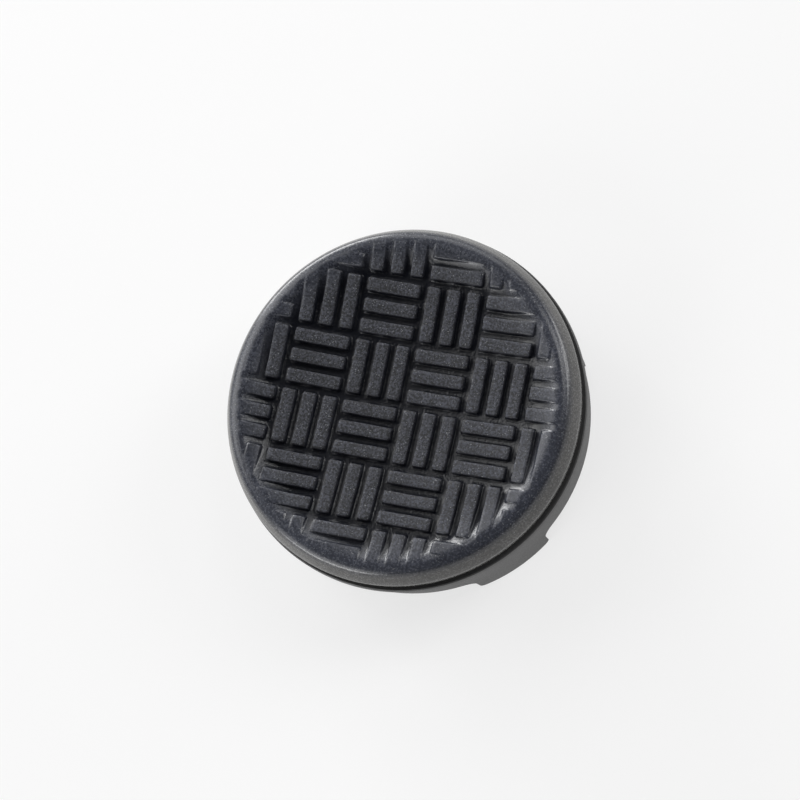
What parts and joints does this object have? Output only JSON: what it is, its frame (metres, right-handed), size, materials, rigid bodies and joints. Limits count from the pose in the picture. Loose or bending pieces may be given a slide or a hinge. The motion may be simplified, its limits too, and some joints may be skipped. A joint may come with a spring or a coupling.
{
  "type": "controller thumb grip",
  "caption": "Round clip-on thumb grip: a dished soft pad in basket-weave relief on a stiffer ring whose claws snap over a stick's head.",
  "frame": {"origin": "on the grip's axis, at the tips of the claws, which it stands on", "axes": "+Z along the axis, from the claws towards the dished top; +X and +Y along the two directions of the weave's bars"},
  "size_m": [0.021, 0.021, 0.0075],
  "materials": {
    "soft_rubber": "matt moulded rubber",
    "hard_plastic": "fine satin moulded plastic"
  },
  "bodies": {
    "root": {"thumb_pad": "soft_rubber", "clip_base": "hard_plastic"}
  },
  "joints": []
}
